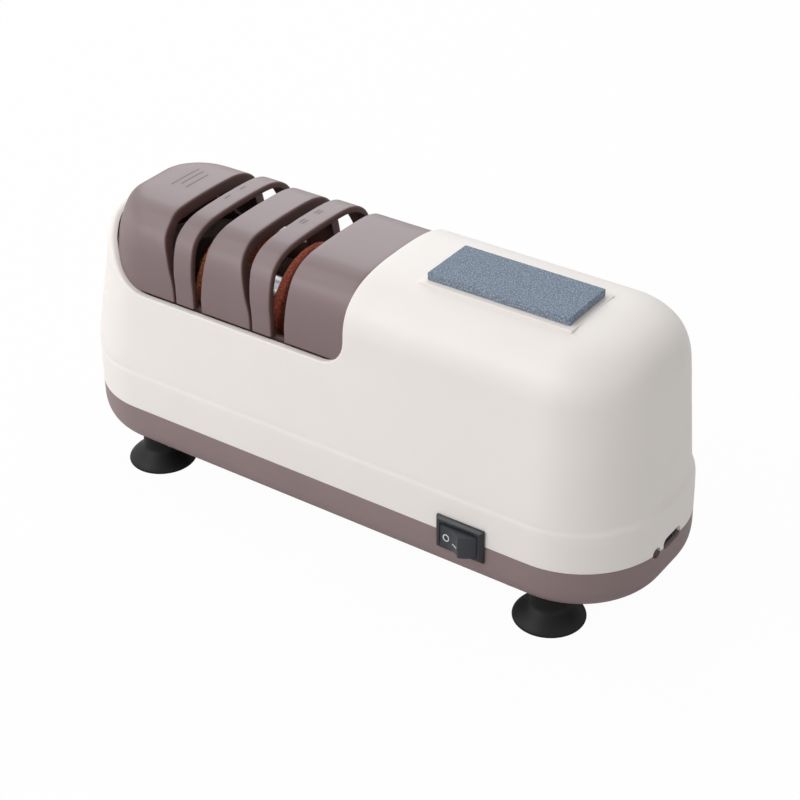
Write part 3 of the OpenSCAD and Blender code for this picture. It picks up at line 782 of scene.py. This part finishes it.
# shallow marks of the stages: one bar on the coarse arch, two on the fine one, three lines on the left land;
# drawn as thin strips a hair proud, in a darker mauve that is painted shade of the engraved grooves
marks = {"line": 0.46, "proud": 0.015, "bars": {-53.0: (0,), -25.6: (-0.55, 0.55)},
         "barSpans": ((-2.3, 0.3), (4.7, 7.3)),
         "lines": ((-72.4, -3.0, 9.6), (-70.2, -1.2, 9.0), (-67.6, -2.2, 8.0))}


def buildMarks():
    skin = Skin()
    half, proud = marks["line"] / 2, marks["proud"]
    path, _ = guidePath(guide["archProud"])
    for x, offsets in marks["bars"].items():
        for offset in offsets:
            for start, end in marks["barSpans"]:
                ys = np.linspace(start, end, 7)
                zs = np.interp(ys, path[:, 0], path[:, 1]) + proud
                sides = (x + offset - half, x + offset + half)
                skin.grid(np.array([[[a, y, z] for y, z in zip(ys, zs)] for a in sides]))
    for x, start, end in marks["lines"]:
        ys = np.linspace(start, end, 24)
        sides = (x - half, x + half)
        skin.grid(np.array([[[a, y, guideSurface.heightAt(a, y) + proud] for y in ys] for a in sides]))
    return makePiece("guideMarks", skin, "engravedPaintedShade")


marksOnGuide = buildMarks()
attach(marksOnGuide, "body")

skirtPiece = buildSkirt()
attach(skirtPiece, "body")
print("marks and foot of the guide built")


stone = {"size": (43.7, 18.6, 2.3), "at": (44.5, -1.3, 86.1), "edge": 0.35, "grid": 0.42, "rough": 0.07}


def buildStone():
    (l, w, t), (x, y, z) = stone["size"], stone["at"]
    low, high = (x - l / 2, y - w / 2, z), (x + l / 2, y + w / 2, z + t)
    skin = roundedBlock(low, high, stone["edge"], stone["grid"], stone["rough"])
    return makePiece("whetstoneBlock", skin, "stone", angle=60)


stonePiece = buildStone()
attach(stonePiece, "body")
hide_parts("whetstone")
print("stone built")


def lathe(profile, steps, axis, at):
    # [radius, place along the axis] turned about that axis
    skin = Skin()
    angles = np.linspace(0, 2 * math.pi, steps, endpoint=False)
    rows = []
    for radius, along in profile:
        ring = [[radius * math.cos(a), radius * math.sin(a), along] for a in angles]
        rows.append([[p[2], p[0], p[1]] if axis == "x" else p for p in ring])
    skin.grid(np.array(rows) + np.array(at), closed=True)
    return skin


def softProfile(points):
    # cuts the corners of an open outline, its ends kept
    pts = [np.array(p, float) for p in points]
    for _ in range(2):
        new = [pts[0]]
        for a, b in zip(pts, pts[1:]):
            new += [a * 0.8 + b * 0.2, a * 0.2 + b * 0.8]
        pts = new + [pts[-1]]
    return pts


feet = {"spacing": (138.4, 40.4), "rim": 10.3, "base": 10.5}


def footProfile():
    r, b = feet["rim"], feet["base"]
    inner = [[0, 3.4], [3.2, 3.1], [6.2, 2]]
    outer = [[8.8, 0.5], [9.6, 0.02], [r - 0.1, 0.02], [r, 0.3], [r - 0.15, 0.8], [9.4, 1.7], [8, 3],
             [6.6, 4.2], [5.8, 5.1], [5.5, 6.2], [5.5, b - 0.3]]
    plug = [[5.4, b], [3, b], [3, b + 2.2], [3.9, b + 2.4], [3.4, b + 3.8], [0, b + 4.2]]
    return inner + softProfile(outer) + plug


def spreadTree(name):
    # a copy of the given shape at each corner of a rectangle
    tree = bpy.data.node_groups.new(name, "GeometryNodeTree")
    tree.interface.new_socket("Shape", in_out="INPUT", socket_type="NodeSocketGeometry")
    for label in ("Spacing lengthwise", "Spacing crosswise", "Shift crosswise"):
        tree.interface.new_socket(label, in_out="INPUT", socket_type="NodeSocketFloat")
    tree.interface.new_socket("Finish", in_out="INPUT", socket_type="NodeSocketMaterial")
    tree.interface.new_socket("Shape", in_out="OUTPUT", socket_type="NodeSocketGeometry")
    nodes = tree.nodes
    given, out = nodes.new("NodeGroupInput"), nodes.new("NodeGroupOutput")
    corners = addNode(nodes, "GeometryNodeMeshGrid", {"Vertices X": 2, "Vertices Y": 2})
    join(given, "Spacing lengthwise", corners, "Size X")
    join(given, "Spacing crosswise", corners, "Size Y")
    shift = nodes.new("ShaderNodeCombineXYZ")
    join(given, "Shift crosswise", shift, "Y")
    move = nodes.new("GeometryNodeTransform")
    join(corners, "Mesh", move, "Geometry")
    join(shift, "Vector", move, "Translation")
    copies = nodes.new("GeometryNodeInstanceOnPoints")
    join(move, "Geometry", copies, "Points")
    join(given, "Shape", copies, "Instance")
    real = nodes.new("GeometryNodeRealizeInstances")
    join(copies, "Instances", real, "Geometry")
    dress = nodes.new("GeometryNodeSetMaterial")
    join(real, "Geometry", dress, "Geometry")
    join(given, "Finish", dress, "Material")
    join(dress, "Geometry", out, "Shape")
    return tree


def spreadOut(obj, tree, values):
    modifier = obj.modifiers.new("spread", "NODES")
    modifier.node_group = tree
    for item in tree.interface.items_tree:
        if item.in_out == "INPUT" and item.name in values:
            modifier[item.identifier] = values[item.name]
    applyAll(obj)


def buildFeet():
    skin = lathe(footProfile(), 72, "z", (0, -centreY, 0))
    piece = makePiece("suctionFeet", skin, "rubber", angle=50)
    long, wide = feet["spacing"]
    values = {"Spacing lengthwise": long * mm, "Spacing crosswise": wide * mm,
              "Shift crosswise": centreY * mm, "Finish": finishes["rubber"]}
    spreadOut(piece, spreadTree("footCorners"), values)
    return piece


feetPiece = buildFeet()
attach(feetPiece, "body")
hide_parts("foot_front_left", "foot_front_right", "foot_rear_left", "foot_rear_right")

wheels = {"radius": 18.5, "height": 58.5, "bore": 3.03, "coarse": -51.7, "fine": -24.2,
          "rough": {"coarse": 0.12, "fine": 0.08}}


def buildWheel(kind):
    r, x = wheels["radius"], wheels[kind]
    half = [[6, 5.6], [6.4, 4.2], [8, 4.1], [10, 3.6], [12, 3.1], [14, 2.6], [16, 2.1], [r - 0.6, 1.6],
            [r - 0.2, 1.35], [r, 1.1]]
    profile = [[wheels["bore"], -5.6]] + [[a, -b] for a, b in half] + [[r, -0.4], [r, 0.4]]
    profile += half[::-1] + [[wheels["bore"], 5.6], [wheels["bore"], -5.6]]
    skin = lathe(profile, 220, "x", (x, 0, wheels["height"]))
    points = np.array(skin.points)
    away = points - [x, 0, wheels["height"]]
    radius = np.hypot(away[:, 1], away[:, 2])
    grain = grainAt(points, [12.71, 31.17, 74.7]) * np.clip((radius - 8) / 2, 0, 1) * wheels["rough"][kind]
    points[:, 1:] *= (1 - grain / np.maximum(radius, 1))[:, None]
    skin.points = [tuple(p) for p in points]
    return makePiece(kind + "WheelGrit", skin, kind, angle=50)


for kind in ("coarse", "fine"):
    piece = buildWheel(kind)
    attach(piece, "rotor")
    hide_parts(kind + "_wheel")
print("feet and wheels built")


switch = {"middle": 47.75, "pivot": -29.75, "height": 24.5, "rest": -14.5, "drum": 6.7, "cut": 1.8,
          "half": 3.3, "bezelEdge": 0.22, "rockerEdge": 0.16,
          "face": ((-3.89, -5.46), (-0.2, -4.7), (3.3, -5.83)),
          "ring": {"along": -0.56, "up": -0.15, "wide": 0.98, "high": 1.15, "line": 0.3},
          "dash": {"along": 0.36, "up": -1.05, "length": 2.1, "line": 0.32}, "proud": 0.03}


def roundEdges(obj, width, angle):
    bevel = obj.modifiers.new("edge", "BEVEL")
    bevel.width, bevel.segments = width * mm, 3
    bevel.limit_method, bevel.angle_limit = "ANGLE", math.radians(25)
    applyAll(obj)
    smooth(obj, angle)


def buildBezel():
    # the frame's own shape with its edges rounded
    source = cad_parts["switch_body"].data
    mesh = bpy.data.meshes.new("switchBezel")
    mesh.from_pydata([v.co[:] for v in source.vertices], [], [list(f.vertices) for f in source.polygons])
    work = bmesh.new()
    work.from_mesh(mesh)
    bmesh.ops.remove_doubles(work, verts=work.verts, dist=1e-6)
    bmesh.ops.dissolve_limit(work, angle_limit=math.radians(1), verts=work.verts, edges=work.edges)
    work.to_mesh(mesh)
    work.free()
    mesh.materials.append(finishes["black"])
    obj = addObject("switchBezel", mesh)
    roundEdges(obj, switch["bezelEdge"], 40)
    return obj


bezelPiece = buildBezel()
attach(bezelPiece, "body")
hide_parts("switch_body")


def facePoint(share, up, out=0.0):
    # a place on the hollow finger face of the rocker: -1 is its left tip and 1 its right tip
    left, middle, right = (np.array(p) for p in switch["face"])
    bend = (right + left) / 2 - middle
    p = middle + (right - left) / 2 * share + bend * share * share
    along = unit((right - left) / 2 + 2 * bend * share)
    p = p + np.array([along[1], -along[0]]) * out
    return [*turned(p), switch["height"] + up]


def turned(p):
    # a point of the rocker's own drawing, at its rest angle
    turn = math.radians(switch["rest"])
    return (switch["middle"] + p[0] * math.cos(turn) - p[1] * math.sin(turn),
            switch["pivot"] + p[0] * math.sin(turn) + p[1] * math.cos(turn))


def buildRocker():
    r, half, z = switch["drum"], switch["half"], switch["height"]
    left, _, right = switch["face"]
    stop = math.asin(switch["cut"] / r)
    rightArc = np.linspace(math.atan2(right[1], right[0]), stop, 18)
    leftArc = np.linspace(math.pi - stop, 2 * math.pi + math.atan2(left[1], left[0]), 18)
    outline = [turned((r * math.cos(a), r * math.sin(a))) for a in list(rightArc) + list(leftArc)]
    outline += [facePoint(share, 0)[:2] for share in np.linspace(-1, 1, 25)]
    skin = Skin()
    low, high = [[*p, z - half] for p in outline], [[*p, z + half] for p in outline]
    skin.grid(np.array([low, high]), closed=True)
    skin.cap(low)
    skin.cap(high)

    # a pin at either end
    turns = np.linspace(0, 2 * math.pi, 24, endpoint=False)
    for side in (-1, 1):
        ends = [(1, half - 0.5), (1, half + 0.7), (0.9, half + 0.8)]
        rings = [[[switch["middle"] + q * math.cos(a), switch["pivot"] + q * math.sin(a), z + side * e]
                  for a in turns] for q, e in ends]
        skin.grid(np.array(rings), closed=True)
        skin.cap(rings[0])
        skin.cap(rings[-1])
    piece = makePiece("switchRocker", skin, "rocker")
    roundEdges(piece, switch["rockerEdge"], 35)
    return piece


rockerPiece = buildRocker()
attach(rockerPiece, "rocker")
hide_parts("rocker")


def buildSwitchMarks():
    skin, proud = Skin(), switch["proud"]
    ring, dash = switch["ring"], switch["dash"]
    left, _, right = switch["face"]
    scale = 2 / (right[0] - left[0])
    turns = np.linspace(0, 2 * math.pi, 48, endpoint=False)
    rows = []
    for inset, out in ((0, -0.1), (0, proud), (ring["line"], proud), (ring["line"], -0.1)):
        wide, high = (ring["wide"] - inset) * scale, ring["high"] - inset
        spots = [(ring["along"] + wide * math.cos(a), ring["up"] + high * math.sin(a)) for a in turns]
        rows.append([facePoint(*spot, out) for spot in spots])
    skin.grid(np.array(rows), closed=True)
    places = dash["along"] + np.linspace(-dash["length"] / 2, dash["length"] / 2, 7) * scale
    edge = dash["line"] / 2
    sides = [(-edge, -0.1), (-edge, proud), (edge, proud), (edge, -0.1)]
    bars = [[facePoint(a, dash["up"] + b, out) for b, out in sides] for a in places]
    skin.grid(np.array(bars), closed=True)
    skin.cap(bars[0])
    skin.cap(bars[-1])
    return makePiece("switchMarks", skin, "mark")


marksPiece = buildSwitchMarks()
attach(marksPiece, "rocker")
print("switch built")


# nodes of the frame that are shown as they are
kept = {
    "adhesive": ("stone_adhesive",),
    "black": ("usb_tongue", "coupling", "motor_end_cap"),
    "board": ("charge_board",),
    "brass": ("switch_terminals", "left_bush", "right_bush", "motor_terminals"),
    "chip": ("board_components",),
    "frame": ("bearing_frame",),
    "lamp": ("status_led",),
    "sleeve": ("battery_cell",),
    "steel": ("usb_port", "battery_tabs", "wheel_shaft", "wheel_spacers", "shaft_clip", "motor_shaft",
              "motor_can", "motor_plate", "motor_screws", "base_screws", "frame_screws", "board_screws",
              "coarse_springs", "fine_springs"),
}
for finish, names in kept.items():
    for name in names:
        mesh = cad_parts[name].data
        mesh.materials.clear()
        mesh.materials.append(finishes[finish])
print("other nodes given their finishes")

camera = {"azimuth": 35.04, "elevation": 32.85, "roll": -0.68, "lens": 87.48,
          "at": (275.01, -383.64, 339.05)}
studio = {"floorHalf": 3.0, "floorGrey": 0.72, "floorGlow": 0.97, "worldStrength": 0.5}
cool = (0.94, 0.97, 1.0)
lamps = {
    "keyLeft": {"at": (-0.5, -0.85, 0.8), "towards": (0, 0, 0.04), "size": (0.7, 0.7), "energy": 6.1},
    "backSoft": {"at": (-0.62, 0.85, 0.68), "towards": (-0.03, 0, 0.05), "size": (0.7, 0.8), "energy": 4.4,
                 "colour": cool},
    "topSoft": {"at": (-0.58, -0.14, 1.0), "towards": (0, 0, 0.05), "size": (0.5, 0.35), "energy": 1.9,
                "colour": cool},
    "leftSoft": {"at": (-1.1, -0.35, 0.3), "towards": (0, 0, 0.05), "size": (0.7, 0.7), "energy": 1.5},
    "rightSoft": {"at": (1.1, -0.2, 0.5), "towards": (0, 0, 0.06), "size": (0.7, 0.7), "energy": 0.5},
}


def addCamera():
    data = bpy.data.cameras.new("photoCamera")
    data.lens, data.sensor_width = camera["lens"], 36
    data.clip_start, data.clip_end = 0.01, 20
    obj = addObject("photoCamera", data)
    az, el, roll = (math.radians(camera[k]) for k in ("azimuth", "elevation", "roll"))
    back = Vector((math.sin(az) * math.cos(el), -math.cos(az) * math.cos(el), math.sin(el)))
    right = Vector((math.cos(az), math.sin(az), 0))
    up = back.cross(right)
    x = right * math.cos(roll) + up * math.sin(roll)
    y = -right * math.sin(roll) + up * math.cos(roll)
    matrix = Matrix((x, y, back)).transposed().to_4x4()
    matrix.translation = Vector(place(camera["at"])[0])
    obj.matrix_world = matrix
    scene.camera = obj


def addArea(name, at, towards, size, energy, colour=(1, 1, 1)):
    data = bpy.data.lights.new(name, "AREA")
    data.shape, data.size, data.size_y = "RECTANGLE", size[0], size[1]
    data.energy, data.color = energy, colour
    obj = addObject(name, data)
    obj.location = at
    obj.rotation_mode = "QUATERNION"
    obj.rotation_quaternion = (Vector(towards) - Vector(at)).to_track_quat("-Z", "Y")


def addFloor():
    mesh = bpy.data.meshes.new("floor")
    r = studio["floorHalf"]
    mesh.from_pydata([(-r, -r, 0), (r, -r, 0), (r, r, 0), (-r, r, 0)], [], [(0, 1, 2, 3)])
    material, nodes, shader = newMaterial("floorPale")
    setInputs(shader, {"Base Color": (*[studio["floorGrey"]] * 3, 1), "Roughness": 0.9})
    glow = nodes.new("ShaderNodeEmission")
    path = nodes.new("ShaderNodeLightPath")
    share = addNode(nodes, "ShaderNodeMath", {1: studio["floorGlow"]})
    share.operation = "MULTIPLY"
    mix = nodes.new("ShaderNodeMixShader")
    join(path, "Is Camera Ray", share, 0)
    join(share, 0, mix, "Fac")
    join(shader, 0, mix, 1)
    join(glow, 0, mix, 2)
    join(mix, 0, nodes["Material Output"], "Surface")
    mesh.materials.append(material)
    obj = addObject("floor", mesh)


def addWorld():
    # soft light all round, and plain white where the camera, glossy and transmission rays see it
    world = bpy.data.worlds.new("studio")
    scene.world = world
    world.use_nodes = True
    nodes = world.node_tree.nodes
    nodes.clear()
    white = (1, 1, 1, 1)
    light = addNode(nodes, "ShaderNodeBackground", {"Color": white, "Strength": studio["worldStrength"]})
    seen = addNode(nodes, "ShaderNodeBackground", {"Color": white})
    mix = nodes.new("ShaderNodeMixShader")
    path = nodes.new("ShaderNodeLightPath")
    source, output = path, "Is Camera Ray"
    for ray in ("Is Glossy Ray", "Is Transmission Ray"):
        larger = nodes.new("ShaderNodeMath")
        larger.operation = "MAXIMUM"
        join(source, output, larger, 0)
        join(path, ray, larger, 1)
        source, output = larger, 0
    join(larger, 0, mix, "Fac")
    join(light, 0, mix, 1)
    join(seen, 0, mix, 2)
    join(mix, 0, nodes.new("ShaderNodeOutputWorld"), "Surface")


addCamera()
addFloor()
addWorld()
for name, values in lamps.items():
    addArea(name, **values)
scene.view_settings.view_transform = "Standard"
print("camera, floor and light set")
